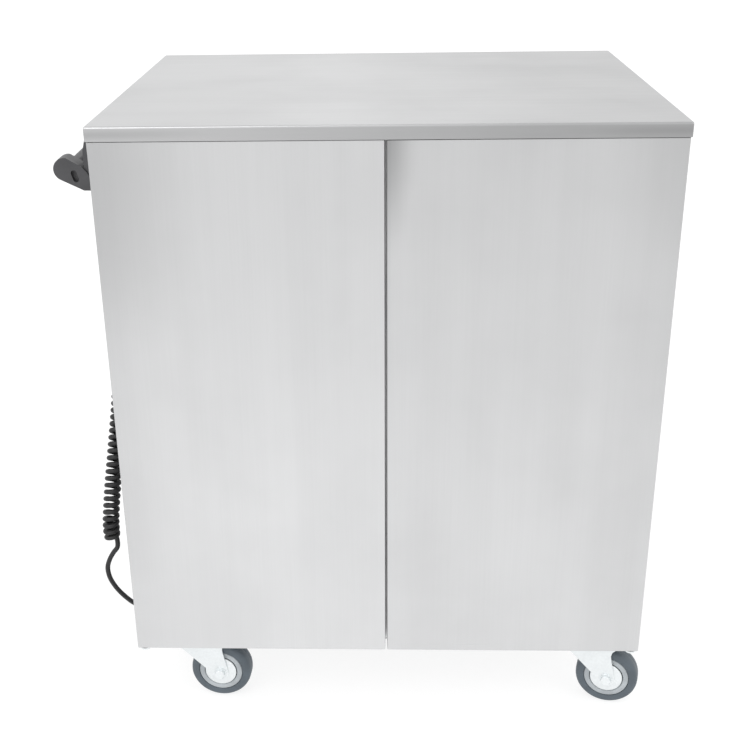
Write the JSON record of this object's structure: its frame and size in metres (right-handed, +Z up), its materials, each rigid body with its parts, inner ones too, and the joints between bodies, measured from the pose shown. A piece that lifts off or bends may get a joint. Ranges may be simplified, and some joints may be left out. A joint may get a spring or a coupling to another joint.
{
  "type": "insulated food carrier",
  "caption": "Mobile two-chamber insulated food cabinet with double doors, flat worktop, push bar, curly mains lead and swivel casters.",
  "frame": {"origin": "on the floor under the middle of the carrier's box, measured without the mains lead", "axes": "+Z up, doors face -Y, push bar and controls on the -X side"},
  "size_m": [0.8802, 0.64, 0.965],
  "materials": {
    "stainless": "satin",
    "coated_steel": "satin",
    "zinc": "satin",
    "insulation": "matte",
    "heater_plate": "matte",
    "black_moulding": "satin",
    "seal_rubber": "matte",
    "lamp_lens": "gloss",
    "switch_rocker": "gloss",
    "cord_jacket": "satin",
    "wheel_core": "satin",
    "tyre": "matte"
  },
  "bodies": {
    "cabinet": {"worktop": "stainless", "side_panel_left": "stainless", "side_panel_right": "stainless", "back_panel": "stainless", "front_frame": "stainless", "base_pan": "stainless", "chamber_liner_left": "stainless", "chamber_liner_right": "stainless", "tray_rack_left_a": "stainless", "tray_rack_left_b": "stainless", "tray_rack_right_a": "stainless", "tray_rack_right_b": "stainless", "insulation_jacket": "insulation", "insulation_back": "insulation", "insulation_divider": "insulation", "heater_left": "heater_plate", "heater_right": "heater_plate", "control_housing": "black_moulding", "cord_gland": "black_moulding", "plug_holder": "black_moulding", "handle_bracket_front": "black_moulding", "handle_bracket_rear": "black_moulding", "mains_plug": "black_moulding", "hinge_pivot_left_top": "zinc", "hinge_pivot_left_bottom": "zinc", "hinge_pivot_right_top": "zinc", "hinge_pivot_right_bottom": "zinc", "push_bar": "coated_steel", "pilot_lamp": "lamp_lens", "cord_tail": "cord_jacket", "cord_coil": "cord_jacket", "cord_lead": "cord_jacket", "caster_plate_front_left": "zinc", "caster_plate_front_right": "zinc", "caster_plate_rear_left": "zinc", "caster_plate_rear_right": "zinc"},
    "door_left": {"door_skin_left": "stainless", "door_insulation_left": "insulation", "door_inner_panel_left": "stainless", "door_seal_left": "seal_rubber"},
    "door_right": {"door_skin_right": "stainless", "door_insulation_right": "insulation", "door_inner_panel_right": "stainless", "door_seal_right": "seal_rubber"},
    "thermostat_knob": {"thermostat_knob": "black_moulding"},
    "power_switch": {"power_switch": "switch_rocker"},
    "swivel_front_left": {"caster_fork_front_left": "zinc"},
    "wheel_front_left": {"caster_wheel_front_left": "wheel_core", "caster_tyre_front_left": "tyre"},
    "swivel_front_right": {"caster_fork_front_right": "zinc"},
    "wheel_front_right": {"caster_wheel_front_right": "wheel_core", "caster_tyre_front_right": "tyre"},
    "swivel_rear_left": {"caster_fork_rear_left": "zinc"},
    "wheel_rear_left": {"caster_wheel_rear_left": "wheel_core", "caster_tyre_rear_left": "tyre"},
    "swivel_rear_right": {"caster_fork_rear_right": "zinc"},
    "wheel_rear_right": {"caster_wheel_rear_right": "wheel_core", "caster_tyre_rear_right": "tyre"},
    "brake_rear_left": {"brake_pedal_rear_left": "zinc"},
    "brake_rear_right": {"brake_pedal_rear_right": "zinc"}
  },
  "joints": [
    {"name": "door_left_hinge", "type": "hinge", "parent": "cabinet", "child": "door_left", "pos_m": [-0.36832, -0.306, 0.1255], "axis": [0, 0, -1], "range_deg": [0, 180]},
    {"name": "door_right_hinge", "type": "hinge", "parent": "cabinet", "child": "door_right", "pos_m": [0.41169, -0.306, 0.1255], "axis": [0, 0, 1], "range_deg": [0, 180]},
    {"name": "caster_swivel_front_left", "type": "hinge", "parent": "cabinet", "child": "swivel_front_left", "pos_m": [-0.29831, -0.2588, 0.1145], "axis": [0, 0, 1], "continuous": true},
    {"name": "wheel_spin_front_left", "type": "hinge", "parent": "swivel_front_left", "child": "wheel_front_left", "pos_m": [-0.25263, -0.26199, 0.05], "axis": [0.0698, 0.9976, 0], "continuous": true},
    {"name": "caster_swivel_front_right", "type": "hinge", "parent": "cabinet", "child": "swivel_front_right", "pos_m": [0.34169, -0.2588, 0.1145], "axis": [0, 0, 1], "continuous": true},
    {"name": "wheel_spin_front_right", "type": "hinge", "parent": "swivel_front_right", "child": "wheel_front_right", "pos_m": [0.38593, -0.27065, 0.05], "axis": [0.2588, 0.9659, 0], "continuous": true},
    {"name": "caster_swivel_rear_left", "type": "hinge", "parent": "cabinet", "child": "swivel_rear_left", "pos_m": [-0.29831, 0.2588, 0.1145], "axis": [0, 0, 1], "continuous": true},
    {"name": "wheel_spin_rear_left", "type": "hinge", "parent": "swivel_rear_left", "child": "wheel_rear_left", "pos_m": [-0.25277, 0.25401, 0.05], "axis": [0.1045, 0.9945, 0], "continuous": true},
    {"name": "brake_pedal_rear_left_press", "type": "hinge", "parent": "swivel_rear_left", "child": "brake_rear_left", "pos_m": [-0.26848, 0.25566, 0.106], "axis": [0.1045, 0.9945, 0], "range_deg": [0, 8]},
    {"name": "caster_swivel_rear_right", "type": "hinge", "parent": "cabinet", "child": "swivel_rear_right", "pos_m": [0.34169, 0.2588, 0.1145], "axis": [0, 0, 1], "continuous": true},
    {"name": "wheel_spin_rear_right", "type": "hinge", "parent": "swivel_rear_right", "child": "wheel_rear_right", "pos_m": [0.38723, 0.26359, 0.05], "axis": [-0.1045, 0.9945, 0], "continuous": true},
    {"name": "brake_pedal_rear_right_press", "type": "hinge", "parent": "swivel_rear_right", "child": "brake_rear_right", "pos_m": [0.37152, 0.26194, 0.106], "axis": [-0.1045, 0.9945, 0], "range_deg": [0, 8]},
    {"name": "thermostat_turn", "type": "hinge", "parent": "cabinet", "child": "thermostat_knob", "pos_m": [-0.41321, 0.005, 0.77], "axis": [-1, 0, 0], "range_deg": [0, 270]},
    {"name": "power_switch_rock", "type": "hinge", "parent": "cabinet", "child": "power_switch", "pos_m": [-0.40762, 0.08, 0.77], "axis": [0, -1, 0], "range_deg": [0, 16]}
  ]
}
